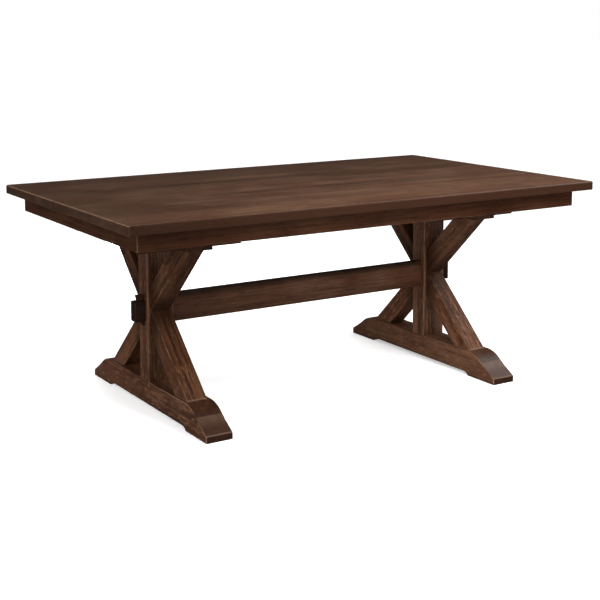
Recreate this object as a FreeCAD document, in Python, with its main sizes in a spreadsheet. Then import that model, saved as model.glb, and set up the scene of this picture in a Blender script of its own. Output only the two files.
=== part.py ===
"""Trestle dining table.

A plank top on a mitred apron frame stands on two trestles.  Each trestle is a
shaped foot, a post, four half braces that form an X, and a cleat with two cross
battens.  A stretcher ties the trestles together: its tenons pass through the
posts and are locked outside by tapered keys that lift out.

X runs along the table, Y across it (the front is -Y) and Z is up.  The origin
is on the floor under the middle of the table.  Lengths are millimetres.
"""
import FreeCAD
import Part
import Sketcher
import math
import os

Vector = FreeCAD.Vector

SIZES = {
    # Whole table and plank top
    "table_height": 762.0,
    "top_length": 1920.0,
    "top_width": 1146.0,
    "top_thickness": 32.0,
    "top_corner_radius": 12.0,
    "top_edge_round": 5.0,
    "top_under_round": 2.0,
    # Apron frame
    "end_overhang": 52.0,
    "side_overhang": 60.0,
    "apron_depth": 65.0,
    "apron_thickness": 22.0,
    "apron_edge_round": 2.5,
    "apron_corner_round": 4.0,
    # Corner blocks and their screws
    "block_leg": 85.0,
    "block_tip": 24.0,
    "block_height": 45.0,
    "block_screw_inset": 13.0,
    "block_screw_drop": 33.0,
    "block_screw_grip": 12.0,
    "block_screw_bite": 15.0,
    # Wooden buttons, the apron grooves they hook into, and their screws
    "button_length": 48.0,
    "button_width": 34.0,
    "button_height": 22.0,
    "button_gap": 0.8,
    "tongue_length": 10.0,
    "tongue_thickness": 9.0,
    "groove_drop": 12.0,
    "groove_slack": 0.6,
    "button_screw_bite": 18.0,
    # Screws shared by buttons and corner blocks
    "small_shank": 4.5,
    "small_head": 9.0,
    "small_head_height": 3.0,
    # Trestles: post, foot and cleat share one width
    "trestle_inset": 350.0,
    "trestle_width": 100.0,
    "trestle_edge_round": 3.0,
    "post_depth": 76.0,
    "post_tenon_width": 60.0,
    "post_tenon_thickness": 34.0,
    "post_tenon_length": 55.0,
    "mortise_slack": 0.25,
    # Foot
    "foot_height": 98.0,
    "shoulder_margin": 4.0,
    "shoulder_run": 82.0,
    "crease_height": 68.0,
    "crease_round": 3.0,
    "toe_run": 73.0,
    "toe_height": 24.0,
    "toe_hollow": 1.0,
    "toe_round": 10.0,
    "pad_length": 153.0,
    "relief_depth": 13.0,
    "cove_length": 30.0,
    # Cleat, battens and the screws up into the top
    "cleat_length": 694.0,
    "cleat_height": 115.0,
    "batten_length": 378.0,
    "batten_thickness": 38.0,
    "batten_setback": 58.0,
    "top_screw_grip": 40.0,
    "top_screw_bite": 22.0,
    "top_screw_shank": 6.5,
    "top_screw_head": 13.0,
    "top_screw_head_height": 4.0,
    "counterbore_slack": 1.0,
    # Braces and dowels
    "brace_setback": 31.0,
    "brace_width": 68.0,
    "brace_thickness": 75.0,
    "dowel_diameter": 10.0,
    "dowel_depth": 26.0,
    "dowel_wall": 4.0,
    # Stretcher and keys
    "stretcher_centre": 353.0,
    "stretcher_height": 102.0,
    "stretcher_thickness": 38.0,
    "tenon_height": 72.0,
    "tenon_reach": 41.0,
    "tenon_end_chamfer": 2.5,
    "key_length": 110.0,
    "key_thickness": 20.0,
    "key_top_width": 28.0,
    "key_point_width": 8.0,
    "key_rise": 22.0,
    "key_setback": 3.0,
    "key_clearance": 0.3,
    "key_edge_round": 2.0,
}

# Values that follow from the sizes above
DERIVED = {
    "top_underside": "=table_height - top_thickness",
    "apron_outer_x": "=top_length / 2 - end_overhang",
    "apron_outer_y": "=top_width / 2 - side_overhang",
    "apron_inner_x": "=apron_outer_x - apron_thickness",
    "apron_inner_y": "=apron_outer_y - apron_thickness",
    "apron_mitre_drop": "=apron_corner_round * (1 - sqrt(2) / 2)",
    "trestle_x": "=top_length / 2 - trestle_inset",
    "trestle_half": "=trestle_width / 2",
    "cleat_bottom": "=top_underside - cleat_height",
    "batten_centre": "=cleat_length / 2 - batten_setback - batten_thickness / 2",
    "brace_reach": "=cleat_length / 2 - brace_setback",
    "brace_middle": "=(cleat_bottom + foot_height) / 2",
    "brace_rise": "=(cleat_bottom - foot_height) / 2",
    "brace_run": "=brace_reach - post_depth / 2",
    "brace_span": "=sqrt(brace_run ^ 2 + brace_rise ^ 2)",
    "brace_level_cut": "=brace_width * brace_span / brace_rise",
    "brace_upright_cut": "=brace_width * brace_span / brace_run",
    "foot_flat": "=brace_reach + shoulder_margin",
    "foot_crease": "=foot_flat + shoulder_run",
    "foot_half": "=foot_crease + toe_run",
    "shoulder_fall": "=foot_height - crease_height",
    "shoulder_radius": "=(shoulder_run ^ 2 + shoulder_fall ^ 2) / (2 * shoulder_fall)",
    "toe_chord": "=sqrt(toe_run ^ 2 + (crease_height - toe_height) ^ 2)",
    "toe_radius": "=(toe_chord ^ 2 / 4 + toe_hollow ^ 2) / (2 * toe_hollow)",
    "cove_radius": "=(cove_length ^ 2 + relief_depth ^ 2) / (2 * relief_depth)",
    "pad_start": "=foot_half - pad_length",
    "relief_half": "=pad_start - cove_length",
    "shoulder_x": "=trestle_x - trestle_half",
    "post_face_x": "=trestle_x + trestle_half",
    "tenon_end_x": "=post_face_x + tenon_reach",
    "tenon_low": "=stretcher_centre - tenon_height / 2",
    "tenon_high": "=stretcher_centre + tenon_height / 2",
    "key_top": "=tenon_high + key_rise",
    "key_point": "=key_top - key_length",
    "key_inner_x": "=post_face_x + key_clearance",
}

TOLERANCE = 1e-5
PLANK_COUNT = 7
CLEAT_SCREW_SHARES = (-0.245, -0.13, 0.13, 0.245)
BATTEN_SCREW_SHARES = (-0.36, 0.36)
LONG_BUTTON_SHARES = (-0.37, -0.13, 0.13, 0.37)
END_BUTTON_SHARES = (-0.13, 0.13)
END_DOWEL_SHARE = 0.75
POST_DOWEL_SHARE = 0.6
SIDES = {"left": -1, "right": 1}
ENDS = {"front": -1, "back": 1}
LEVELS = {"lower": -1, "upper": 1}

doc = FreeCAD.newDocument("trestle_table")
nodes = []


def make_sheet():
    """Write the driving sizes and what follows from them, one alias each."""
    made = doc.addObject("Spreadsheet::Sheet", "sizes")
    cells = [(name, str(value)) for name, value in SIZES.items()] + list(DERIVED.items())
    for row, (name, text) in enumerate(cells, start=1):
        made.set(f"A{row}", name)
        made.set(f"B{row}", text)
        made.setAlias(f"B{row}", name)
    doc.recompute()
    return made


sheet = make_sheet()


def size(name):
    """One value of the sheet, as a number."""
    return float(sheet.get(name))


def worked_out(text):
    """The number that an expression over the sheet gives."""
    return float(sheet.evalExpression(text))


def bind(item, links):
    """Bind properties of an object to expressions over the sheet."""
    for path, text in links.items():
        item.setExpression(path, text)


def place(item, x="0", y="0", z="0", turn=0.0):
    """Turn an object about Z and bind its place to the sheet."""
    item.Placement = FreeCAD.Placement(Vector(), FreeCAD.Rotation(Vector(0, 0, 1), turn))
    bind(item, {"Placement.Base.x": x, "Placement.Base.y": y, "Placement.Base.z": z})
    return item


def keep(item, label):
    """Name an object as one piece of the table."""
    item.Label = label
    nodes.append(item)
    return item


def sketch_on(body, role, name, lift=None):
    """An empty sketch on one of the body's own planes, raised by an expression."""
    sketch = body.newObject("Sketcher::SketchObject", name)
    support = next(item for item in body.Origin.OriginFeatures if item.Role == role)
    sketch.AttachmentSupport = [(support, "")]
    sketch.MapMode = "FlatFace"
    if lift:
        sketch.setExpression("AttachmentOffset.Base.z", lift)
    return sketch


def arc_between(start, end, radius, side):
    """An arc of the given radius; side 1 bulges to the left of the way from start to end."""
    chord = end - start
    left = Vector(-chord.y, chord.x, 0).normalize()
    centre = (start + end) / 2 - left * side * math.sqrt(radius ** 2 - (chord.Length / 2) ** 2)
    ends = (end, start) if side > 0 else (start, end)
    angles = [math.atan2(spot.y - centre.y, spot.x - centre.x) for spot in ends]
    return Part.ArcOfCircle(Part.Circle(centre, Vector(0, 0, 1), radius), *angles)


def hold_corner(sketch, edge, point, texts, spot):
    """Fix one corner of an outline by its two expressions."""
    rules = (("DistanceX", texts[0], spot.x, -2), ("DistanceY", texts[1], spot.y, -1))
    for kind, text, value, axis in rules:
        if text == "0":
            sketch.addConstraint(Sketcher.Constraint("PointOnObject", edge, point, axis))
        else:
            index = sketch.addConstraint(Sketcher.Constraint(kind, -1, 1, edge, point, value))
            sketch.setExpression(f"Constraints[{index}]", text)


def draw_outline(sketch, corners, arcs=None):
    """A closed outline through corners given as expressions.

    arcs maps the number of an edge to its radius expression and bulge side.
    """
    arcs = arcs or {}
    spots = [Vector(worked_out(x), worked_out(y), 0) for x, y in corners]
    first = sketch.GeometryCount
    joints = []
    for number, start in enumerate(spots):
        end = spots[(number + 1) % len(spots)]
        if number in arcs:
            radius, side = arcs[number]
            edge = sketch.addGeometry(arc_between(start, end, worked_out(radius), side), False)
            index = sketch.addConstraint(Sketcher.Constraint("Radius", edge, worked_out(radius)))
            sketch.setExpression(f"Constraints[{index}]", radius)
            joints.append((2, 1) if side > 0 else (1, 2))
        else:
            sketch.addGeometry(Part.LineSegment(start, end), False)
            joints.append((1, 2))
    for number, spot in enumerate(spots):
        after = (number + 1) % len(spots)
        ends = (first + number, joints[number][1], first + after, joints[after][0])
        sketch.addConstraint(Sketcher.Constraint("Coincident", *ends))
        hold_corner(sketch, first + number, joints[number][0], corners[number], spot)


def rectangle(low_x, low_y, high_x, high_y):
    """The four corners of a rectangle, as expressions."""
    return [(low_x, low_y), (high_x, low_y), (high_x, high_y), (low_x, high_y)]


def centred_rectangle(width, depth):
    """A rectangle about the sketch's origin, from the expressions of its two sides."""
    return rectangle(f"-{width} / 2", f"-{depth} / 2", f"{width} / 2", f"{depth} / 2")


def pad(body, sketch, length, centred=False):
    """Raise a sketch by an expression, to one side or evenly to both."""
    made = body.newObject("PartDesign::Pad", f"{sketch.Name}_pad")
    made.Profile = sketch
    made.setExpression("Length", length)
    if centred:
        made.SideType = "Symmetric"
    return made


def pocket(body, sketch, length, centred=False, upward=False):
    """Cut a sketch into the body and check that wood was taken away."""
    doc.recompute()
    before = body.Shape.Volume
    made = body.newObject("PartDesign::Pocket", f"{sketch.Name}_pocket")
    made.Profile = sketch
    made.Reversed = upward
    made.setExpression("Length", length)
    if centred:
        made.SideType = "Symmetric"
    doc.recompute()
    if body.Shape.Volume >= before:
        raise RuntimeError(f"{made.Name} cut nothing")
    return made


def round_edges(body, radius, wanted):
    """Round the edges of the body's last feature for which wanted(edge) is true."""
    doc.recompute()
    base = body.Tip
    names = [f"Edge{number}" for number, edge in enumerate(base.Shape.Edges, start=1) if wanted(edge)]
    made = body.newObject("PartDesign::Fillet", f"{base.Name}_round")
    made.Base = (base, names)
    made.setExpression("Radius", radius)
    return made


def chamfer_edges(body, width, wanted):
    """Bevel the edges of the body's last feature for which wanted(edge) is true."""
    doc.recompute()
    base = body.Tip
    names = [f"Edge{number}" for number, edge in enumerate(base.Shape.Edges, start=1) if wanted(edge)]
    made = body.newObject("PartDesign::Chamfer", f"{base.Name}_bevel")
    made.Base = (base, names)
    made.setExpression("Size", width)
    return made


def runs_along(edge, axis):
    """Whether an edge is straight and runs along one axis, 0 for X, 1 for Y, 2 for Z."""
    if not isinstance(edge.Curve, Part.Line):
        return False
    return math.isclose(abs(edge.Curve.Direction[axis]), 1, abs_tol=TOLERANCE)


def at_level(edge, axis, value):
    """Whether an edge lies wholly at one coordinate."""
    return all(math.isclose(point.Point[axis], value, abs_tol=TOLERANCE) for point in edge.Vertexes)


def cut_away(base, tools, label):
    """The base with each tool taken out of it in turn."""
    for tool in tools:
        made = doc.addObject("Part::Cut", f"{label}_less_{tool.Name}")
        made.Base = base
        made.Tool = tool
        base = made
    return base


def group_of(shapes, name):
    """One object that holds separate solids."""
    made = doc.addObject("Part::Feature", name)
    made.Shape = Part.makeCompound(shapes)
    return made


def screw(shank, head, head_height, length):
    """A screw that points up: the head hangs under z = 0, the shank stands on it."""
    top = Part.makeCylinder(shank / 2, length)
    cap = Part.makeCylinder(head / 2, head_height, Vector(0, 0, -head_height))
    return top.fuse(cap).removeSplitter()


def moved(shape, spot, turn=None):
    """A copy of a shape, turned and then moved to a spot."""
    made = shape.copy()
    made.Placement = FreeCAD.Placement(spot, turn or FreeCAD.Rotation())
    return made


def make_top_screws():
    """Screws through cleats and battens into the top, and the counterbores they need."""
    seat = size("top_underside") - size("top_screw_grip")
    head = size("top_screw_head")
    one = screw(size("top_screw_shank"), head, size("top_screw_head_height"),
                size("top_screw_grip") + size("top_screw_bite"))
    bore = Part.makeCylinder(head / 2 + size("counterbore_slack"), seat - size("cleat_bottom"))
    spots = []
    for side in SIDES.values():
        x = side * size("trestle_x")
        spots += [(x, share * size("cleat_length")) for share in CLEAT_SCREW_SHARES]
        for end in ENDS.values():
            y = end * size("batten_centre")
            spots += [(x + share * size("batten_length"), y) for share in BATTEN_SCREW_SHARES]
    screws = keep(group_of([moved(one, Vector(x, y, seat)) for x, y in spots], "top_screws"), "top_screws")
    low = size("cleat_bottom")
    bores = group_of([moved(bore, Vector(x, y, low)) for x, y in spots], "counterbores")
    return screws, bores


def button_places():
    """Where each button meets the inner face of an apron, and which way it turns."""
    places = []
    for share in LONG_BUTTON_SHARES:
        x = share * size("top_length")
        places.append((Vector(x, -size("apron_inner_y"), size("top_underside")), 0))
        places.append((Vector(x, size("apron_inner_y"), size("top_underside")), 180))
    for share in END_BUTTON_SHARES:
        y = share * size("top_width")
        places.append((Vector(size("apron_inner_x"), y, size("top_underside")), 90))
        places.append((Vector(-size("apron_inner_x"), y, size("top_underside")), 270))
    return [(spot, FreeCAD.Rotation(Vector(0, 0, 1), turn)) for spot, turn in places]


def make_buttons():
    """Wooden buttons whose tongues hook into the apron grooves, with one screw each."""
    body = doc.addObject("PartDesign::Body", "button")
    sketch = sketch_on(body, "YZ_Plane", "button_profile")
    back = "sizes.button_gap + sizes.button_length"
    tongue_top = "-sizes.groove_drop"
    tongue_low = "-sizes.groove_drop - sizes.tongue_thickness"
    draw_outline(sketch, [
        ("-sizes.tongue_length", tongue_low), ("sizes.button_gap", tongue_low),
        ("sizes.button_gap", "-sizes.button_height"), (back, "-sizes.button_height"), (back, "0"),
        ("sizes.button_gap", "0"), ("sizes.button_gap", tongue_top), ("-sizes.tongue_length", tongue_top)])
    pad(body, sketch, "sizes.button_width", centred=True)
    doc.recompute()
    one = screw(size("small_shank"), size("small_head"), size("small_head_height"),
                size("button_height") + size("button_screw_bite"))
    middle = Vector(0, worked_out(back) / 2, -size("button_height"))
    places = button_places()
    blanks = group_of([moved(body.Shape, spot, turn) for spot, turn in places], "button_blanks")
    screws = group_of([moved(one, spot + turn.multVec(middle), turn) for spot, turn in places],
                      "button_screws")
    keep(screws, "button_screws")
    keep(cut_away(blanks, [screws], "buttons"), "table_buttons")
    return screws


def block_places():
    """The four inner corners of the apron frame, with the turn that fits a block there."""
    x = size("apron_inner_x")
    y = size("apron_inner_y")
    corners = ((-x, -y, 0), (x, -y, 90), (x, y, 180), (-x, y, 270))
    return [(Vector(along, across, size("top_underside")), FreeCAD.Rotation(Vector(0, 0, 1), turn))
            for along, across, turn in corners]


def make_block_screws():
    """Two screws in each corner block, one into each apron, and their counterbores."""
    one = screw(size("small_shank"), size("small_head"), size("small_head_height"),
                size("block_screw_grip") + size("block_screw_bite"))
    bore = Part.makeCylinder(size("small_head") / 2 + size("counterbore_slack"), size("block_leg"),
                             Vector(), Vector(0, 0, -1))
    across = size("block_leg") - size("block_screw_inset")
    grip = size("block_screw_grip")
    drop = -size("block_screw_drop")
    into_front = (Vector(across, grip, drop), FreeCAD.Rotation(Vector(0, 0, 1), Vector(0, -1, 0)))
    into_side = (Vector(grip, across, drop), FreeCAD.Rotation(Vector(0, 0, 1), Vector(-1, 0, 0)))
    screws = []
    bores = []
    for spot, turn in block_places():
        for seat, aim in (into_front, into_side):
            where = spot + turn.multVec(seat)
            screws.append(moved(one, where, turn.multiply(aim)))
            bores.append(moved(bore, where, turn.multiply(aim)))
    return keep(group_of(screws, "block_screws"), "block_screws"), group_of(bores, "block_bores")


def make_dowels():
    """Dowels at the ends of the braces: upright into foot and cleat, level into the post."""
    radius = size("dowel_diameter") / 2
    depth = size("dowel_depth")
    inner = size("stretcher_thickness") / 2 + size("mortise_slack") + size("dowel_wall")
    outer = size("post_depth") / 2 + depth
    upright = Part.makeCylinder(radius, 2 * depth, Vector(0, 0, -depth))
    level = Part.makeCylinder(radius, outer - inner)
    end_y = size("brace_reach") - END_DOWEL_SHARE * size("brace_level_cut")
    rise = POST_DOWEL_SHARE * size("brace_upright_cut")
    upright_ones = []
    level_ones = []
    for side in SIDES.values():
        x = side * size("trestle_x")
        for end in ENDS.values():
            aim = FreeCAD.Rotation(Vector(0, 0, 1), Vector(0, end, 0))
            for z in (size("foot_height"), size("cleat_bottom")):
                upright_ones.append(moved(upright, Vector(x, end * end_y, z)))
            for level_sign in LEVELS.values():
                z = size("brace_middle") + level_sign * rise
                level_ones.append(moved(level, Vector(x, end * inner, z), aim))
    ends = keep(group_of(upright_ones, "brace_end_dowels"), "brace_end_dowels")
    return ends, keep(group_of(level_ones, "brace_post_dowels"), "brace_post_dowels")


def make_top(screws):
    """The glued panel is rounded as one, then parted into its planks."""
    body = doc.addObject("PartDesign::Body", "top_panel")
    sketch = sketch_on(body, "XY_Plane", "top_outline")
    draw_outline(sketch, centred_rectangle("sizes.top_length", "sizes.top_width"))
    pad(body, sketch, "sizes.top_thickness")
    round_edges(body, "sizes.top_corner_radius", lambda edge: runs_along(edge, 2))
    round_edges(body, "sizes.top_edge_round", lambda edge: at_level(edge, 2, size("top_thickness")))
    round_edges(body, "sizes.top_under_round", lambda edge: at_level(edge, 2, 0))
    place(body, z="sizes.top_underside")
    for number in range(PLANK_COUNT):
        strip = doc.addObject("Part::Box", f"plank_strip_{number + 1}")
        bind(strip, {"Length": "sizes.top_length", "Width": f"sizes.top_width / {PLANK_COUNT}",
                     "Height": "sizes.top_thickness"})
        place(strip, "-sizes.top_length / 2", f"sizes.top_width * ({number} / {PLANK_COUNT} - 1 / 2)",
              "sizes.top_underside")
        plank = doc.addObject("Part::Common", f"plank_{number + 1}")
        plank.Base = body
        plank.Tool = strip
        keep(cut_away(plank, screws, f"plank_{number + 1}"), f"top_plank_{number + 1}")


def make_apron(label, half, x, y, turn, screws):
    """One mitred apron, outer face on its own Y = 0, with a groove along the inner face.

    Each end carries its half of the rounded corner.
    """
    body = doc.addObject("PartDesign::Body", f"{label}_blank")
    plan = sketch_on(body, "XY_Plane", f"{label}_plan")
    thick = "sizes.apron_thickness"
    drop = "sizes.apron_mitre_drop"
    tips = [(f"{half} - sizes.apron_corner_round", "0"), (f"{half} - {drop}", drop),
            (f"{half} - {thick}", thick)]
    mirrored = [(f"-({along})", across) for along, across in reversed(tips)]
    corner = ("sizes.apron_corner_round", -1)
    draw_outline(plan, tips + mirrored, {0: corner, 4: corner})
    pad(body, plan, "sizes.apron_depth")
    round_edges(body, "sizes.apron_edge_round",
                lambda edge: runs_along(edge, 0) and at_level(edge, 1, 0) and at_level(edge, 2, 0))
    groove = sketch_on(body, "YZ_Plane", f"{label}_groove")
    high = "sizes.apron_depth - sizes.groove_drop"
    low = f"{high} - sizes.tongue_thickness - sizes.groove_slack"
    draw_outline(groove, rectangle(f"{thick} - sizes.tongue_length - sizes.groove_slack", low, thick, high))
    pocket(body, groove, f"2 * {half}", centred=True)
    place(body, x, y, "sizes.top_underside - sizes.apron_depth", turn)
    keep(cut_away(body, [screws], label), label)


def make_aprons(screws):
    """Four aprons, mitred at the corners of the frame."""
    wide = "sizes.apron_outer_x"
    deep = "sizes.apron_outer_y"
    make_apron("front_apron", wide, "0", f"-{deep}", 0, screws)
    make_apron("right_apron", deep, wide, "0", 90, screws)
    make_apron("back_apron", wide, "0", deep, 180, screws)
    make_apron("left_apron", deep, f"-{wide}", "0", 270, screws)


def make_corner_blocks(screws, bores):
    """Blocks with square tips, glued and screwed into the corners of the frame."""
    x = "sizes.apron_inner_x"
    y = "sizes.apron_inner_y"
    spots = {"front_left": (f"-{x}", f"-{y}", 0), "front_right": (x, f"-{y}", 90),
             "back_right": (x, y, 180), "back_left": (f"-{x}", y, 270)}
    for corner, (place_x, place_y, turn) in spots.items():
        label = f"{corner}_corner_block"
        body = doc.addObject("PartDesign::Body", f"{label}_blank")
        plan = sketch_on(body, "XY_Plane", f"{label}_plan")
        leg = "sizes.block_leg"
        tip = "sizes.block_tip"
        draw_outline(plan, [("0", "0"), (leg, "0"), (leg, tip), (tip, leg), ("0", leg)])
        pad(body, plan, "sizes.block_height")
        place(body, place_x, place_y, "sizes.top_underside - sizes.block_height", turn)
        keep(cut_away(body, [bores, screws], label), label)


def make_post(side, dowels):
    """A post with a tenon at each end and a through mortise for the stretcher."""
    body = doc.addObject("PartDesign::Body", f"{side}_post_blank")
    core = sketch_on(body, "XY_Plane", f"{side}_post_core")
    draw_outline(core, centred_rectangle("sizes.post_tenon_width", "sizes.post_tenon_thickness"))
    pad(body, core, "2 * (sizes.brace_rise + sizes.post_tenon_length)")
    shaft = sketch_on(body, "XY_Plane", f"{side}_post_shaft", "sizes.post_tenon_length")
    draw_outline(shaft, centred_rectangle("sizes.trestle_width", "sizes.post_depth"))
    pad(body, shaft, "2 * sizes.brace_rise")
    round_edges(body, "sizes.trestle_edge_round",
                lambda edge: runs_along(edge, 2) and math.isclose(edge.Length, 2 * size("brace_rise")))
    mortise = sketch_on(body, "YZ_Plane", f"{side}_post_mortise")
    half = "(sizes.stretcher_thickness / 2 + sizes.mortise_slack)"
    base = "sizes.foot_height - sizes.post_tenon_length"
    low = f"sizes.tenon_low - sizes.mortise_slack - ({base})"
    high = f"sizes.tenon_high + sizes.mortise_slack - ({base})"
    draw_outline(mortise, rectangle(f"-{half}", low, half, high))
    pocket(body, mortise, "2 * sizes.trestle_width", centred=True)
    place(body, f"{SIDES[side]} * sizes.trestle_x", "0", base)
    keep(cut_away(body, [dowels], f"{side}_post"), f"{side}_post")


def foot_outline():
    """The foot's side view: toe, hollow slope, round shoulder, flat top and relieved underside."""
    half = [("sizes.relief_half", "sizes.relief_depth"), ("sizes.pad_start", "0"), ("sizes.foot_half", "0"),
            ("sizes.foot_half", "sizes.toe_height"), ("sizes.foot_crease", "sizes.crease_height"),
            ("sizes.foot_flat", "sizes.foot_height")]
    mirrored = [(f"-{y}", z) for y, z in reversed(half)]
    arcs = {0: ("sizes.cove_radius", 1), 3: ("sizes.toe_radius", 1), 4: ("sizes.shoulder_radius", -1),
            6: ("sizes.shoulder_radius", -1), 7: ("sizes.toe_radius", 1), 10: ("sizes.cove_radius", 1)}
    return half + mirrored, arcs


def make_foot(side, dowels):
    """A shaped foot that stands on two pads, mortised for the post."""
    body = doc.addObject("PartDesign::Body", f"{side}_foot_blank")
    profile = sketch_on(body, "YZ_Plane", f"{side}_foot_profile")
    corners, arcs = foot_outline()
    draw_outline(profile, corners, arcs)
    pad(body, profile, "sizes.trestle_width", centred=True)
    round_edges(body, "sizes.crease_round",
                lambda edge: runs_along(edge, 0) and at_level(edge, 2, size("crease_height")))
    round_edges(body, "sizes.toe_round",
                lambda edge: runs_along(edge, 0) and at_level(edge, 2, size("toe_height")))
    half_width = size("trestle_half")
    round_edges(body, "sizes.trestle_edge_round",
                lambda edge: at_level(edge, 0, half_width) or at_level(edge, 0, -half_width))
    mortise = sketch_on(body, "XY_Plane", f"{side}_foot_mortise", "sizes.foot_height")
    draw_outline(mortise, centred_rectangle("(sizes.post_tenon_width + 2 * sizes.mortise_slack)",
                                            "(sizes.post_tenon_thickness + 2 * sizes.mortise_slack)"))
    pocket(body, mortise, "sizes.post_tenon_length + sizes.mortise_slack")
    place(body, f"{SIDES[side]} * sizes.trestle_x")
    keep(cut_away(body, [dowels], f"{side}_foot"), f"{side}_foot")


def make_brace(side, level, end, dowels):
    """Half of one X member: it butts on the post and on the foot or the cleat."""
    label = f"{side}_{level}_{end}_brace"
    body = doc.addObject("PartDesign::Body", f"{label}_blank")
    profile = sketch_on(body, "YZ_Plane", f"{label}_profile")
    out = ENDS[end]
    up = LEVELS[level]
    seat_y = f"{out} * sizes.post_depth / 2"
    seat_z = f"sizes.brace_middle + {up} * sizes.brace_rise"
    draw_outline(profile, [
        (seat_y, "sizes.brace_middle"),
        (f"{out} * sizes.brace_reach", seat_z),
        (f"{out} * (sizes.brace_reach - sizes.brace_level_cut)", seat_z),
        (seat_y, f"sizes.brace_middle + {up} * sizes.brace_upright_cut")])
    pad(body, profile, "sizes.brace_thickness", centred=True)
    long_edge = size("brace_span") / 2
    round_edges(body, "sizes.trestle_edge_round",
                lambda edge: edge.Length > long_edge and not runs_along(edge, 2))
    place(body, f"{SIDES[side]} * sizes.trestle_x")
    keep(cut_away(body, dowels, label), label)


def make_batten(side, end, screws, bores):
    """A cross batten, notched underneath so that it drops over the cleat."""
    label = f"{side}_{end}_batten"
    blank = doc.addObject("Part::Box", f"{label}_blank")
    bind(blank, {"Length": "sizes.batten_length", "Width": "sizes.batten_thickness",
                 "Height": "sizes.cleat_height"})
    middle = f"{SIDES[side]} * sizes.trestle_x"
    edge_y = f"{ENDS[end]} * sizes.batten_centre - sizes.batten_thickness / 2"
    place(blank, f"{middle} - sizes.batten_length / 2", edge_y, "sizes.cleat_bottom")
    notch = doc.addObject("Part::Box", f"{label}_notch")
    bind(notch, {"Length": "sizes.trestle_width", "Width": "sizes.batten_thickness",
                 "Height": "sizes.cleat_height / 2"})
    place(notch, f"{middle} - sizes.trestle_half", edge_y, "sizes.cleat_bottom")
    return keep(cut_away(blank, [notch, bores, screws], label), label)


def make_cleat(side, battens, screws, bores, dowels):
    """The trestle's top member, notched for the battens and mortised for the post."""
    body = doc.addObject("PartDesign::Body", f"{side}_cleat_blank")
    plan = sketch_on(body, "XY_Plane", f"{side}_cleat_plan")
    draw_outline(plan, centred_rectangle("sizes.trestle_width", "sizes.cleat_length"))
    pad(body, plan, "sizes.cleat_height")
    round_edges(body, "sizes.trestle_edge_round",
                lambda edge: at_level(edge, 2, 0))
    mortise = sketch_on(body, "XY_Plane", f"{side}_cleat_mortise")
    draw_outline(mortise, centred_rectangle("(sizes.post_tenon_width + 2 * sizes.mortise_slack)",
                                            "(sizes.post_tenon_thickness + 2 * sizes.mortise_slack)"))
    pocket(body, mortise, "sizes.post_tenon_length + sizes.mortise_slack", upward=True)
    place(body, f"{SIDES[side]} * sizes.trestle_x", "0", "sizes.cleat_bottom")
    keep(cut_away(body, battens + [bores, screws, dowels], f"{side}_cleat"), f"{side}_cleat")


def make_stretcher():
    """A board whose shouldered tenons pass through the posts and hold the keys."""
    body = doc.addObject("PartDesign::Body", "stretcher_body")
    face = sketch_on(body, "XZ_Plane", "stretcher_face")
    low = "sizes.stretcher_centre - sizes.stretcher_height / 2"
    high = "sizes.stretcher_centre + sizes.stretcher_height / 2"
    half = [("sizes.shoulder_x", low), ("sizes.shoulder_x", "sizes.tenon_low"),
            ("sizes.tenon_end_x", "sizes.tenon_low"), ("sizes.tenon_end_x", "sizes.tenon_high"),
            ("sizes.shoulder_x", "sizes.tenon_high"), ("sizes.shoulder_x", high)]
    draw_outline(face, half + [(f"-{x}", z) for x, z in reversed(half)])
    pad(body, face, "sizes.stretcher_thickness", centred=True)
    round_edges(body, "sizes.trestle_edge_round",
                lambda edge: runs_along(edge, 0) and edge.Length > size("shoulder_x"))
    tip = size("tenon_end_x")
    chamfer_edges(body, "sizes.tenon_end_chamfer",
                  lambda edge: at_level(edge, 0, tip) or at_level(edge, 0, -tip))
    slots = sketch_on(body, "XZ_Plane", "key_slots")
    inner = "(sizes.post_face_x - sizes.key_setback)"
    for sign in ("", "-"):
        draw_outline(slots, [
            (f"{sign}{inner}", "sizes.key_point"),
            (f"{sign}(sizes.key_inner_x + sizes.key_point_width + sizes.key_clearance)", "sizes.key_point"),
            (f"{sign}(sizes.key_inner_x + sizes.key_top_width + sizes.key_clearance)", "sizes.key_top"),
            (f"{sign}{inner}", "sizes.key_top")])
    pocket(body, slots, "sizes.key_thickness + 2 * sizes.key_clearance", centred=True)
    keep(body, "stretcher")


def make_key(side):
    """A tapered key, flat against the post and wider at the top."""
    body = doc.addObject("PartDesign::Body", f"{side}_key_body")
    face = sketch_on(body, "XZ_Plane", f"{side}_key_face")
    out = SIDES[side]
    draw_outline(face, [("0", "0"), (f"{out} * sizes.key_point_width", "0"),
                        (f"{out} * sizes.key_top_width", "sizes.key_length"), ("0", "sizes.key_length")])
    pad(body, face, "sizes.key_thickness", centred=True)
    round_edges(body, "sizes.key_edge_round", lambda edge: at_level(edge, 2, size("key_length")))
    place(body, f"{out} * sizes.key_inner_x", "0", "sizes.key_point")
    keep(body, f"{side}_key")


def make_trestle(side, top_screws, bores, end_dowels, post_dowels):
    """One trestle: foot, post, four half braces, two battens and the cleat."""
    make_foot(side, end_dowels)
    make_post(side, post_dowels)
    for level in LEVELS:
        for end in ENDS:
            make_brace(side, level, end, [end_dowels, post_dowels])
    battens = [make_batten(side, end, top_screws, bores) for end in ENDS]
    make_cleat(side, battens, top_screws, bores, end_dowels)


def write_parts():
    """Check every object, then write one file for each piece."""
    doc.recompute()
    for item in doc.Objects:
        if "Invalid" in item.State or "Error" in item.State:
            raise RuntimeError(f"{item.Name} failed: {item.State}")
    for item in nodes:
        if item.Shape.isNull() or not item.Shape.isValid() or not item.Shape.Solids:
            raise RuntimeError(f"{item.Label} has no valid shape")
    os.makedirs("parts", exist_ok=True)
    for item in nodes:
        item.Shape.exportStep(f"parts/{item.Label}.step")


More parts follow.
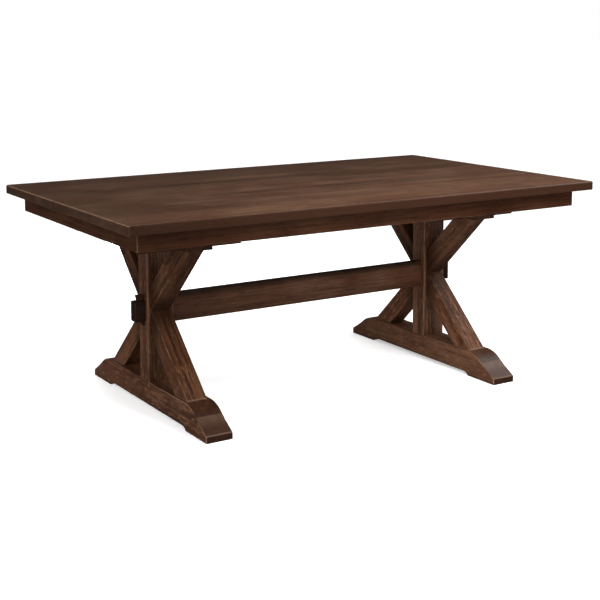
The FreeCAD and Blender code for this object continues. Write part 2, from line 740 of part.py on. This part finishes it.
top_screws, counterbores = make_top_screws()
button_screws = make_buttons()
block_screws, block_bores = make_block_screws()
end_dowels, post_dowels = make_dowels()
make_top([top_screws, button_screws])
make_aprons(block_screws)
make_corner_blocks(block_screws, block_bores)
for trestle_side in SIDES:
    make_trestle(trestle_side, top_screws, counterbores, end_dowels, post_dowels)
make_stretcher()
for key_side in SIDES:
    make_key(key_side)
write_parts()
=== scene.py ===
"""Looks of the trestle table: dark stained hardwood, piece by piece, in a plain white studio."""
import math

import bmesh
import bpy
from mathutils import Matrix, Vector


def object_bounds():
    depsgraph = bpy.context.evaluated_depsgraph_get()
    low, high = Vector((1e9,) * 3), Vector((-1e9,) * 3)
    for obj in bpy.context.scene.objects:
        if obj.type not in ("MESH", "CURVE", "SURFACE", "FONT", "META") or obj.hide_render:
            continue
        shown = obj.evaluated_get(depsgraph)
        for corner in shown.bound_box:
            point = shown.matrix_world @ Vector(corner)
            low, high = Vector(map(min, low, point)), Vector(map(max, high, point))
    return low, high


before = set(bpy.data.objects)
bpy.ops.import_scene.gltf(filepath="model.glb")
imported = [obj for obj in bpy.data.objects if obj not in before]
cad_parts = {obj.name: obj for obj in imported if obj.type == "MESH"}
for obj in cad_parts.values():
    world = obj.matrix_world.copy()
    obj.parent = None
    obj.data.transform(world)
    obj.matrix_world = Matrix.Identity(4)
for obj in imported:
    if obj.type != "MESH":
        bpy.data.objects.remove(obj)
cad_low, cad_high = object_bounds()


# Feet.  Each foot is a thick stick of stained hardwood on edge, sawn to a round shoulder, a crease, a
# hollow slope and a blunt toe, and relieved underneath so that it stands on two pads.  It is mortised for
# the post.  The stain is rubbed thin along the arrises and goes dark where the saw crossed the grain.
# The shoulder, under the rim of the top, is darkened with painted shade.  The rounded top of the toe has a
# painted highlight, and the slope under the crease has a painted highlight that is scuffed like a rub.

FIBRES_ACROSS_TABLE = (0.0, 0.0, -math.pi / 2)

DEEP_STAIN = (0.0130, 0.0046, 0.0021)
WARM_STAIN = (0.0680, 0.0262, 0.0120)
PALE_STAIN = (0.0950, 0.0425, 0.0220)
PORE_STAIN = (0.0040, 0.0020, 0.0010)
BARE_WOOD = (0.1900, 0.1150, 0.0740)
RAY_LIFT = 1.25

# Waves per metre along and across the fibres, then the detail and the roughness of each pattern.
GRAIN = {
    "sway": ((1.6, 5.0), 2.0, 0.55),        # slow bend of the growth rings
    "bands": ((0.8, 22.0), 3.0, 0.55),      # broad early and late wood
    "streaks": ((3.0, 130.0), 4.0, 0.65),   # narrow streaks within the bands
    "fibres": ((9.0, 330.0), 3.0, 0.55),    # fine lines, which can also be felt
    "pores": ((22.0, 520.0), 1.0, 0.55),    # open pores that hold the stain
    "flecks": ((30.0, 170.0), 2.0, 0.55),   # short pale rays
}
# The two values of each pattern between which it comes to show.
SHOWS = {"growth": (0.57, 0.40), "rings": (0.55, 1.0), "fibres": (0.48, 0.70), "pores": (0.58, 0.70),
         "flecks": (0.56, 0.68), "blotches": (0.38, 0.66), "rubs": (0.40, 0.62),
         "end_grain": (0.15, 0.85), "underside": (-0.3, -0.8)}
BAND_SHARE = 0.50
RING_SHARE = 0.40
FIBRE_SHARE = 0.45
PORE_SHARE = 0.60
# Faces that look down are darkened with painted shade.
UNDERSIDE_SHADE_SHARE = 0.35

# Each piece comes from its own place in one long log: the steps between places, and where they repeat.
LOG_STEPS = (1.37, 0.73, 0.31)
LOG_SIZES = (3.0, 2.0, 1.0)
PITH_LEAN = (0.0, 0.035, 0.02)
RING_SWAY_ACROSS = 0.05
RING_SWAY_OVER = 0.03

FIBRE_RELIEF = 0.5
PORE_DEPTH = 1.4
DULLEST = 0.54
GLOSS_GAIN = 0.34
FIBRE_DULLNESS = 0.16


def recipe_step(tree, kind, settings=(), fed=()):
    """One step in the recipe of a finish, with its settings and what it is fed by name or number."""
    made = tree.nodes.new(f"ShaderNode{kind}")
    for name, value in dict(settings).items():
        setattr(made, name, value)
    for name, value in dict(fed).items():
        if isinstance(value, bpy.types.NodeSocket):
            tree.links.new(value, made.inputs[name])
        else:
            made.inputs[name].default_value = value
    return made


def reckon(tree, operation, first, second=0.0):
    """The result of one sum on two shares or numbers."""
    return recipe_step(tree, "Math", {"operation": operation}, {0: first, 1: second}).outputs[0]


def times(tree, *shares):
    """Several shares or numbers multiplied together."""
    result = shares[0]
    for share in shares[1:]:
        result = reckon(tree, "MULTIPLY", result, share)
    return result


def fade(tree, value, start, full):
    """A share that goes smoothly from 0 to 1 as the value goes from start to full."""
    made = recipe_step(tree, "MapRange", {"interpolation_type": "SMOOTHSTEP"},
                       {"Value": value, "From Min": start, "From Max": full})
    return made.outputs["Result"]


def mix_colours(tree, share, first, second):
    """Two colours, plain or patterned, mixed by a share."""
    made = recipe_step(tree, "Mix", {"data_type": "RGBA"})
    sockets = {socket.identifier: socket for socket in (*made.inputs, *made.outputs)}
    tree.links.new(share, sockets["Factor_Float"])
    for name, colour in (("A_Color", first), ("B_Color", second)):
        if isinstance(colour, bpy.types.NodeSocket):
            tree.links.new(colour, sockets[name])
        else:
            sockets[name].default_value = (*colour, 1.0)
    return sockets["Result_Color"]


def place_on_table(tree):
    """Where a point of the surface lies on the table at rest, in metres."""
    return recipe_step(tree, "TexCoord").outputs["Object"]


def facing(tree, axis):
    """How far the surface faces along an axis of the table, from -1 to 1."""
    normal = recipe_step(tree, "TexCoord").outputs["Normal"]
    return recipe_step(tree, "SeparateXYZ", fed={0: normal}).outputs[axis]


def beyond(tree, axis, start, full):
    """A share that goes from 0 to 1 between two distances from the origin of the table."""
    place = place_on_table(tree)
    reach = recipe_step(tree, "VectorMath", {"operation": "ABSOLUTE"}, {0: place}).outputs[0]
    return fade(tree, recipe_step(tree, "SeparateXYZ", fed={0: reach}).outputs[axis], start, full)


def clouds(tree, place, scale, detail, roughness=0.5):
    """Soft cloudy noise, alike in all directions."""
    made = recipe_step(tree, "TexNoise", fed={"Vector": place, "Scale": scale, "Detail": detail,
                                              "Roughness": roughness})
    return made.outputs["Fac"]


def along_fibres(tree, place, waves, detail=3.0, roughness=0.55):
    """Noise drawn out along the fibres, with its waves per metre along and across them."""
    along, across = waves
    drawn_out = recipe_step(tree, "VectorMath", {"operation": "MULTIPLY"},
                            {0: place, 1: (along, across, across)})
    return clouds(tree, drawn_out.outputs[0], 1.0, detail, roughness)


def growth_rings(tree, fibre, sway, pith):
    """Growth rings round a pith that lies beside the piece, swaying along its length."""
    heart = recipe_step(tree, "Mapping",
                        fed={"Vector": fibre, "Location": (0.0, *pith), "Rotation": PITH_LEAN})
    bend = recipe_step(tree, "CombineXYZ", fed={"Y": times(tree, sway, RING_SWAY_ACROSS),
                                                "Z": times(tree, sway, RING_SWAY_OVER)})
    bent = recipe_step(tree, "VectorMath", {"operation": "ADD"}, {0: heart.outputs[0], 1: bend.outputs[0]})
    made = recipe_step(tree, "TexWave",
                       {"wave_type": "RINGS", "rings_direction": "X", "wave_profile": "SAW"},
                       {"Vector": bent.outputs[0], "Scale": 24.0, "Distortion": 1.8, "Detail": 2.0,
                        "Detail Scale": 0.6})
    return made.outputs["Fac"]


def stained_wood(name, turn, seed, tone=1.0, tint=(1.0, 1.0, 1.0), wear=0.5, pith=(0.05, -0.14),
                 gloss=0.6, sheen=0.16, figure=0.75, fleck=0.5, thirst=0.45, arris_band=(0.985, 0.86),
                 sawn_profile=False, rubbed_ends=None):
    """Dark stained hardwood whose fibres run along the turned X axis.

    Figure is how much the growth shows, and thirst how dark the cut ends drink the stain.  A sawn profile
    is worn only where its flat sides meet it, and not on its slopes.  Rubbed ends give a share of wear, an
    axis and the two distances from the middle of the table between which the arrises take on that wear.
    """
    material = bpy.data.materials.new(name)
    material.use_nodes = True
    tree = material.node_tree
    tree.nodes.clear()
    fibre = recipe_step(tree, "Mapping", fed={"Vector": place_on_table(tree), "Rotation": turn}).outputs[0]
    log_place = [seed * step % size for step, size in zip(LOG_STEPS, LOG_SIZES)]
    own = recipe_step(tree, "VectorMath", {"operation": "ADD"}, {0: fibre, 1: log_place}).outputs[0]
    grain = {pattern: along_fibres(tree, own, *drawing) for pattern, drawing in GRAIN.items()}
    rings = growth_rings(tree, fibre, grain["sway"], pith)
    growth = reckon(tree, "ADD", times(tree, grain["bands"], BAND_SHARE),
                    times(tree, grain["streaks"], 1.0 - BAND_SHARE))
    blotches = clouds(tree, own, scale=4.0, detail=3.0)
    rubs = clouds(tree, own, scale=9.0, detail=5.0, roughness=0.7)

    normal = recipe_step(tree, "TexCoord").outputs["Normal"]
    turned = recipe_step(tree, "Mapping", {"vector_type": "NORMAL"}, {"Vector": normal, "Rotation": turn})
    sides = recipe_step(tree, "SeparateXYZ", fed={0: turned.outputs[0]}).outputs
    along, across, over = (reckon(tree, "ABSOLUTE", side) for side in sides)
    if sawn_profile:
        squares = reckon(tree, "ADD", times(tree, along, along), times(tree, over, over))
        outline = reckon(tree, "SQRT", squares)
    else:
        outline = reckon(tree, "MAXIMUM", along, over)
    arris = fade(tree, reckon(tree, "MAXIMUM", across, outline), *arris_band)
    worn = times(tree, fade(tree, rubs, *SHOWS["rubs"]), wear)
    if rubbed_ends:
        end_wear, *span = rubbed_ends
        worn = reckon(tree, "MAXIMUM", worn, times(tree, beyond(tree, *span), end_wear))

    deep, warm, pale = ([channel * tone * shift for channel, shift in zip(stain, tint)]
                        for stain in (DEEP_STAIN, WARM_STAIN, PALE_STAIN))
    ray = [channel * RAY_LIFT for channel in pale]
    pores = times(tree, fade(tree, grain["pores"], *SHOWS["pores"]), PORE_SHARE)
    colour = mix_colours(tree, fade(tree, blotches, *SHOWS["blotches"]), warm, pale)
    for share, stain in (
            (times(tree, fade(tree, growth, *SHOWS["growth"]), figure), deep),
            (times(tree, fade(tree, rings, *SHOWS["rings"]), RING_SHARE * figure), deep),
            (times(tree, fade(tree, grain["fibres"], *SHOWS["fibres"]), FIBRE_SHARE), deep),
            (pores, PORE_STAIN),
            (times(tree, fade(tree, grain["flecks"], *SHOWS["flecks"]), fleck), ray),
            (times(tree, fade(tree, along, *SHOWS["end_grain"]), thirst), deep),
            # painted shade on faces that look down
            (times(tree, fade(tree, facing(tree, "Z"), *SHOWS["underside"]), UNDERSIDE_SHADE_SHARE), deep),
            (times(tree, worn, arris), BARE_WOOD)):
        colour = mix_colours(tree, share, colour, stain)

    height = reckon(tree, "SUBTRACT", times(tree, grain["fibres"], FIBRE_RELIEF),
                    times(tree, pores, PORE_DEPTH))
    relief = recipe_step(tree, "Bump", fed={"Strength": 0.35, "Distance": 0.0006, "Height": height})
    dull = reckon(tree, "ADD", DULLEST - GLOSS_GAIN * gloss, times(tree, grain["fibres"], FIBRE_DULLNESS))
    varnish = recipe_step(tree, "BsdfPrincipled", {"name": "varnish"},
                          {"Base Color": colour, "Roughness": dull, "Normal": relief.outputs[0],
                           "Specular IOR Level": sheen})
    tree.links.new(varnish.outputs[0], recipe_step(tree, "OutputMaterial").inputs["Surface"])
    return material


def lay_coat(material, colour, *shares, strength):
    """Lay one more coat of colour over a stained wood, where all the shares allow it."""
    tree = material.node_tree
    socket = tree.nodes["varnish"].inputs["Base Color"]
    under = socket.links[0].from_socket
    tree.links.new(mix_colours(tree, times(tree, *shares, strength), under, colour), socket)


def give_finish(name, material):
    """Give all faces of a piece one finish."""
    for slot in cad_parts[name].material_slots:
        slot.material = material


# Distances from the middle of the foot: where a coat starts and where it is full.
SHOULDER_START = 0.315
CREASE = 0.402
SHOULDER_SPAN = (SHOULDER_START, SHOULDER_START + 0.020)
SHOULDER_STOP = (CREASE, CREASE - 0.004)
SLOPE_SPAN = (CREASE - 0.002, CREASE + 0.004)
CREASE_SPAN = (CREASE - 0.003, CREASE + 0.001)
CREASE_STOP = (CREASE + 0.050, CREASE + 0.004)
TOE_SPAN = (0.450, 0.455)
WORN_TOE = (0.7, "Y", 0.440, 0.472)
# Painted shade for the shoulder, and painted highlights for the toe and under the crease.
SHOULDER_SHADE = (0.018, 0.007, 0.0038)
SLOPE_GLAZE = (0.028, 0.0130, 0.0084)
TOE_HIGHLIGHT = (0.120, 0.076, 0.053)
CREASE_RUB_AND_HIGHLIGHT = (0.108, 0.066, 0.046)
SCUFFED_HIGHLIGHT_SHARE = 0.5
for seed, name in enumerate(("left_foot", "right_foot"), start=1):
    stain = stained_wood(f"{name}_stain", FIBRES_ACROSS_TABLE, seed, wear=0.6, fleck=0.95, thirst=0.9,
                         sawn_profile=True, rubbed_ends=WORN_TOE)
    tree = stain.node_tree
    sawn = fade(tree, reckon(tree, "ABSOLUTE", facing(tree, "X")), start=0.75, full=0.35)
    outward = reckon(tree, "ABSOLUTE", facing(tree, "Y"))
    # Painted shade over the shoulder, which lies under the rim of the top.
    lay_coat(stain, SHOULDER_SHADE, beyond(tree, "Y", *SHOULDER_SPAN), beyond(tree, "Y", *SHOULDER_STOP),
             sawn, strength=0.6)
    lay_coat(stain, SLOPE_GLAZE, beyond(tree, "Y", *SLOPE_SPAN), sawn,
             fade(tree, outward, start=0.85, full=0.6), strength=0.75)
    # A painted highlight along the rounded top of the toe.
    lay_coat(stain, TOE_HIGHLIGHT, beyond(tree, "Y", *TOE_SPAN), sawn, fade(tree, outward, start=0.55, full=0.66),
             fade(tree, outward, start=0.98, full=0.88), strength=0.4)
    # A painted highlight with a rub under the crease, broken by scuffs and fading down the slope.
    marks = along_fibres(tree, place_on_table(tree), waves=(60.0, 18.0))
    scuffed_highlight = reckon(tree, "ADD", 1.0 - SCUFFED_HIGHLIGHT_SHARE,
                    times(tree, SCUFFED_HIGHLIGHT_SHARE, fade(tree, marks, start=0.3, full=0.7)))
    lay_coat(stain, CREASE_RUB_AND_HIGHLIGHT, beyond(tree, "Y", *CREASE_SPAN), beyond(tree, "Y", *CREASE_STOP), sawn,
             scuffed_highlight, strength=0.38)
    give_finish(name, stain)


# Posts.  A straight squared stick of the same stained hardwood carries each trestle.  It is tenoned into
# the foot below and the cleat above, and a slot is cut right through it for the stretcher.

FIBRES_UPRIGHT = (0.0, math.pi / 2, 0.0)
for seed, name in enumerate(("left_post", "right_post"), start=11):
    give_finish(name, stained_wood(f"{name}_stain", FIBRES_UPRIGHT, seed, wear=0.6, fleck=0.75))


# Braces.  Four short members of stained hardwood make the X of each trestle.  They are cut at a slant,
# butted on post, foot and cleat, and dowelled at both ends.  Their fibres follow the slope, so the grain
# turns with each of them.  Painted shade darkens them where they meet at the post, and their tones are
# painted light and shade, lighter for the lower braces at the right and darker at the left.

BRACE_RISE = 0.2585
BRACE_RUN = 0.2780
BRACE_SLOPE = math.atan2(BRACE_RISE, BRACE_RUN)
# Painted light and shade: each brace gets the brightness of the light that falls on it.
BRACE_LIGHT_AND_SHADE_TONES = {"left": {"lower": 0.88, "upper": 0.86}, "right": {"lower": 1.3, "upper": 0.95}}
BRACE_WEAR = {"lower": 0.4, "upper": 0.05}
# The spans go from where a coat starts to where it is full: out from the post, and up from the floor.
CROSSING_SHADE = (0.012, 0.005, 0.0025)
CROSSING_SHADE_SPAN = (0.140, 0.050)
HEEL_RUB = (0.130, 0.078, 0.052)
HEEL_SPAN = (0.1035, 0.1000)
braces = [(side, level, end) for side in ("left", "right") for level in ("lower", "upper")
          for end in ("front", "back")]
for seed, (side, level, end) in enumerate(braces, start=21):
    name = f"{side}_{level}_{end}_brace"
    lean = 1 if (level, end) in (("lower", "front"), ("upper", "back")) else -1
    fibres = (-BRACE_SLOPE * lean, 0.0, -math.pi / 2)
    stain = stained_wood(f"{name}_stain", fibres, seed, tone=BRACE_LIGHT_AND_SHADE_TONES[side][level],
                         wear=BRACE_WEAR[level], fleck=0.8, sheen=0.06)
    # Painted shade in the crotch where the brace meets the post.
    lay_coat(stain, CROSSING_SHADE, beyond(stain.node_tree, "Y", *CROSSING_SHADE_SPAN), strength=0.75)
    lay_coat(stain, HEEL_RUB, beyond(stain.node_tree, "Z", *HEEL_SPAN), strength=0.5)
    give_finish(name, stain)


# Stretcher.  A board of stained hardwood on edge ties the two trestles together.  Its ends are cut back to
# shouldered tenons, which run through both posts and stand out behind them.  There it is made nearly
# black, as stain drunk by the end grain and as painted shade under the end of the top, and painted shade
# darkens its upper edge under the top.

FIBRES_ALONG_TABLE = (0.0, 0.0, 0.0)
STAIN_AND_SHADE_BLACK = (0.0050, 0.0022, 0.0013)
TENON_SPAN = (0.655, 0.665)
UPPER_EDGE_SHADE_SPAN = (0.380, 0.400)
stain = stained_wood("stretcher_stain", FIBRES_ALONG_TABLE, seed=31, tone=0.76, wear=0.35, fleck=0.15,
                     figure=0.45, sheen=0.10)
# Nearly black on the tenons: stain on the end grain, and painted shade.
lay_coat(stain, STAIN_AND_SHADE_BLACK, beyond(stain.node_tree, "X", *TENON_SPAN), strength=0.85)
# Painted shade along the upper edge, under the top.
lay_coat(stain, STAIN_AND_SHADE_BLACK, beyond(stain.node_tree, "Z", *UPPER_EDGE_SHADE_SPAN), strength=0.6)
give_finish("stretcher", stain)


# Keys.  Tapered tusks of a darker hardwood lock the stretcher.  Each drops from above through the mortise
# in a tenon and bears on the post, and it lifts out again by hand.

KEY_TINT = (1.1, 0.85, 0.75)
for seed, name in enumerate(("left_key", "right_key"), start=35):
    give_finish(name, stained_wood(f"{name}_stain", FIBRES_UPRIGHT, seed, tone=0.28, tint=KEY_TINT,
                                   wear=0.15, sheen=0.06))


# Cleats and battens.  Rails of stained hardwood head each trestle, in the shade under the top.  The
# battens are housed in the cleat, and all of them are screwed up into the planks.

for side, cleat_seed, batten_seed in (("left", 41, 45), ("right", 42, 46)):
    name = f"{side}_cleat"
    give_finish(name, stained_wood(f"{name}_stain", FIBRES_ACROSS_TABLE, cleat_seed, tone=0.7, wear=0.05,
                                   sheen=0.06))
    for end in ("front", "back"):
        name = f"{side}_{end}_batten"
        give_finish(name, stained_wood(f"{name}_stain", FIBRES_ALONG_TABLE, batten_seed, tone=0.6,
                                       wear=0.05, sheen=0.06))


# Aprons.  Four boards of stained hardwood on edge run under the rim of the top.  They are mitred at the
# corners, where the arrises are rubbed light, and grooved inside for the buttons.

APRON_TINT = (1.04, 0.93, 0.85)
LONG_CORNER = (0.3, "X", 0.9035, 0.9045)
SHORT_CORNER = (0.3, "Y", 0.5085, 0.5095)
aprons = (("front_apron", FIBRES_ALONG_TABLE, LONG_CORNER),
          ("back_apron", FIBRES_ALONG_TABLE, LONG_CORNER),
          ("left_apron", FIBRES_ACROSS_TABLE, SHORT_CORNER),
          ("right_apron", FIBRES_ACROSS_TABLE, SHORT_CORNER))
for seed, (name, fibres, corner) in enumerate(aprons, start=51):
    give_finish(name, stained_wood(f"{name}_stain", fibres, seed, tone=0.45, tint=APRON_TINT, wear=0.3,
                                   fleck=0.1, figure=0.4, sheen=0.05, rubbed_ends=corner))


# Corner blocks, buttons and dowels.  The inner fixings are left as bare, unstained wood.  The blocks are
# screwed into the corners of the aprons, the buttons hold the top by the grooves in the aprons, and the
# dowels pin the braces.

UNSTAINED_TINT = (4.2, 6.0, 7.0)
for seed, name in enumerate(("front_left_corner_block", "front_right_corner_block",
                             "back_right_corner_block", "back_left_corner_block", "table_buttons",
                             "brace_end_dowels", "brace_post_dowels"), start=61):
    give_finish(name, stained_wood(f"{name}_wood", FIBRES_ALONG_TABLE, seed, tint=UNSTAINED_TINT, wear=0.0,
                                   gloss=0.1))


# Screws.  Wood screws of zinc plated steel are turned in from below and from inside.  They hold the top to
# cleats, battens and buttons, and the corner blocks to the aprons.

DARK_ZINC = (0.42, 0.42, 0.43)
BRIGHT_ZINC = (0.66, 0.66, 0.64)
ZINC_DULLNESS = 0.25
CLOUD_DULLNESS = 0.3


def plated_steel(name):
    """Zinc plate, a little dull and clouded."""
    material = bpy.data.materials.new(name)
    material.use_nodes = True
    tree = material.node_tree
    tree.nodes.clear()
    cloud = clouds(tree, place_on_table(tree), scale=240.0, detail=3.0)
    colour = mix_colours(tree, cloud, DARK_ZINC, BRIGHT_ZINC)
    dull = reckon(tree, "ADD", times(tree, cloud, CLOUD_DULLNESS), ZINC_DULLNESS)
    plate = recipe_step(tree, "BsdfPrincipled",
                        fed={"Base Color": colour, "Roughness": dull, "Metallic": 1.0})
    tree.links.new(plate.outputs[0], recipe_step(tree, "OutputMaterial").inputs["Surface"])
    return material


zinc = plated_steel("screw_zinc")
for name in ("top_screws", "button_screws", "block_screws"):
    give_finish(name, zinc)


# Plank top.  Seven boards of stained hardwood are glued edge to edge and laid on aprons, cleats and
# battens.  Each has its own tone and its own run of grain, and the tones also fall off from the first
# plank to the last as painted light from the front.  The long edges and their round-overs are darkened
# with painted shade, which also hides the highlight on them, and the ends are rubbed light.

# Tones of the planks: their own, plus painted light that is strongest on the first plank.
PLANK_TONES_WITH_FRONT_LIGHT = (1.16, 1.00, 0.97, 0.99, 0.85, 0.88, 0.80)
TOP_TONE = 0.9
TOP_TINT = (1.0, 1.11, 1.18)
PITH_STEP = 0.03
PITH_DEPTH = -0.85
ROUNDED_ARRIS = (0.92, 0.76)
EDGE_SHADE = (0.018, 0.0062, 0.0026)
top_end = cad_high[0]
WORN_END = (0.65, "X", top_end - 0.015, top_end - 0.005)
END_LINE_SPAN = (top_end - 0.0052, top_end - 0.0018)
for number, tone in enumerate(PLANK_TONES_WITH_FRONT_LIGHT, start=1):
    name = f"top_plank_{number}"
    stain = stained_wood(f"{name}_stain", FIBRES_ALONG_TABLE, seed=71 + number, tone=TOP_TONE * tone,
                         tint=TOP_TINT, wear=0.03, pith=(PITH_STEP * number, PITH_DEPTH), gloss=0.4,
                         figure=0.5, fleck=0.2, arris_band=ROUNDED_ARRIS, rubbed_ends=WORN_END)
    tree = stain.node_tree
    # Painted shade on the long edges and their round-overs.
    long_edge_shade = fade(tree, reckon(tree, "ABSOLUTE", facing(tree, "Y")), start=0.15, full=0.6)
    lay_coat(stain, EDGE_SHADE, long_edge_shade, strength=0.95)
    marks = along_fibres(tree, place_on_table(tree), waves=(25.0, 25.0))
    lay_coat(stain, BARE_WOOD, beyond(tree, "X", *END_LINE_SPAN),
             fade(tree, facing(tree, "Z"), start=0.25, full=0.6), fade(tree, marks, start=0.25, full=0.6),
             strength=0.75)
    give_finish(name, stain)


# Studio.  A pale paper floor without a horizon, in white air.  A broad sky lights the table from above, the
# left and behind.  Soft boxes stand in front and at the right, a strip hangs over the front edge, and low
# lights open the shade in front and behind.

FLOOR_REACH = 60.0
WHITE = (1.0, 1.0, 1.0, 1.0)
PAPER = (0.86, 0.86, 0.86, 1.0)
floor_mesh = bpy.data.meshes.new("studio_floor")
sheet = bmesh.new()
bmesh.ops.create_grid(sheet, x_segments=1, y_segments=1, size=FLOOR_REACH)
sheet.to_mesh(floor_mesh)
sheet.free()
floor = bpy.data.objects.new("studio_floor", floor_mesh)
bpy.context.scene.collection.objects.link(floor)
paper = bpy.data.materials.new("studio_paper")
paper.use_nodes = True
for socket, value in (("Base Color", PAPER), ("Roughness", 0.9), ("Specular IOR Level", 0.1),
                      ("Emission Color", WHITE), ("Emission Strength", 0.40)):
    paper.node_tree.nodes["Principled BSDF"].inputs[socket].default_value = value
floor_mesh.materials.append(paper)
floor.visible_glossy = False

world = bpy.data.worlds.new("studio_air")
bpy.context.scene.world = world
world.use_nodes = True
air = world.node_tree
air.nodes.clear()
seen = recipe_step(air, "Background", fed={"Color": WHITE, "Strength": 1.0})
lit = recipe_step(air, "Background", fed={"Color": WHITE, "Strength": 0.06})
direct = recipe_step(air, "LightPath").outputs["Is Camera Ray"]
both = recipe_step(air, "MixShader", fed={0: direct, 1: lit.outputs[0], 2: seen.outputs[0]})
air.links.new(both.outputs[0], recipe_step(air, "OutputWorld").inputs["Surface"])


def studio_light(name, kind, place, energy, aim=(0.0, 0.0, 0.0), glare=True, **form):
    """A light that points from its place to its aim, with or without a reflection in the varnish."""
    data = bpy.data.lights.new(name, kind)
    data.energy = energy
    for key, value in form.items():
        setattr(data, key, value)
    lamp = bpy.data.objects.new(name, data)
    lamp.location = place
    lamp.rotation_euler = (Vector(aim) - Vector(place)).to_track_quat("-Z", "Y").to_euler()
    lamp.visible_glossy = glare
    lamp.visible_camera = False
    bpy.context.scene.collection.objects.link(lamp)


studio_light("overhead", "SUN", (0.4, -1.0, 4.0), energy=0.8, angle=math.radians(95))
studio_light("left_sky", "SUN", (-3.0, -1.0, 1.4), energy=3.2, angle=math.radians(50))
studio_light("back_sky", "SUN", (2.0, 3.0, 1.6), energy=1.0, glare=False, angle=math.radians(60))
studio_light("front_box", "AREA", (0.9, -4.0, 2.6), energy=98.0, aim=(0.1, 0.0, 0.35), glare=False,
             size=1.2)
studio_light("right_box", "AREA", (2.5, -0.9, 2.6), energy=85.0, aim=(0.5, -0.3, 0.5), size=2.0)
studio_light("front_strip", "AREA", (0.3, -1.15, 1.55), energy=24.0, aim=(0.3, -0.5, 0.76), glare=False,
             shape="RECTANGLE", size=1.8, size_y=0.4)
studio_light("low_fill", "AREA", (0.0, -2.2, 1.0), energy=11.0, aim=(0.6, 0.0, 0.35), glare=False, size=0.8)
studio_light("back_fill", "AREA", (0.2, 3.2, 0.66), energy=72.0, aim=(0.0, 0.0, 0.40), glare=False,
             size=1.2)


# Camera.  It stands to the left in front of the table, above the top, with the lens shifted down to keep
# the posts nearly upright, as a furniture photographer sets it.

IMAGE_SIDE = 600.0
FOCAL_PIXELS = 1229.7
AXIS_PIXEL = (305.8, 174.0)
VIEW_PLACE = (-2.4290, -3.9412, 1.3667)
VIEW_YAW, VIEW_PITCH, VIEW_ROLL = (math.radians(angle) for angle in (-31.874, -7.026, -0.195))
view = bpy.data.cameras.new("photo_view")
view.sensor_width = 36.0
view.lens = FOCAL_PIXELS / IMAGE_SIDE * view.sensor_width
view.shift_x = (IMAGE_SIDE / 2 - AXIS_PIXEL[0]) / IMAGE_SIDE
view.shift_y = (AXIS_PIXEL[1] - IMAGE_SIDE / 2) / IMAGE_SIDE
view.clip_end = 200.0
camera = bpy.data.objects.new("photo_view", view)
camera.matrix_world = (Matrix.Translation(VIEW_PLACE) @ Matrix.Rotation(VIEW_YAW, 4, "Z")
                       @ Matrix.Rotation(math.pi / 2 + VIEW_PITCH, 4, "X")
                       @ Matrix.Rotation(VIEW_ROLL, 4, "Z"))
bpy.context.scene.collection.objects.link(camera)
bpy.context.scene.camera = camera
bpy.context.scene.view_settings.view_transform = "Standard"
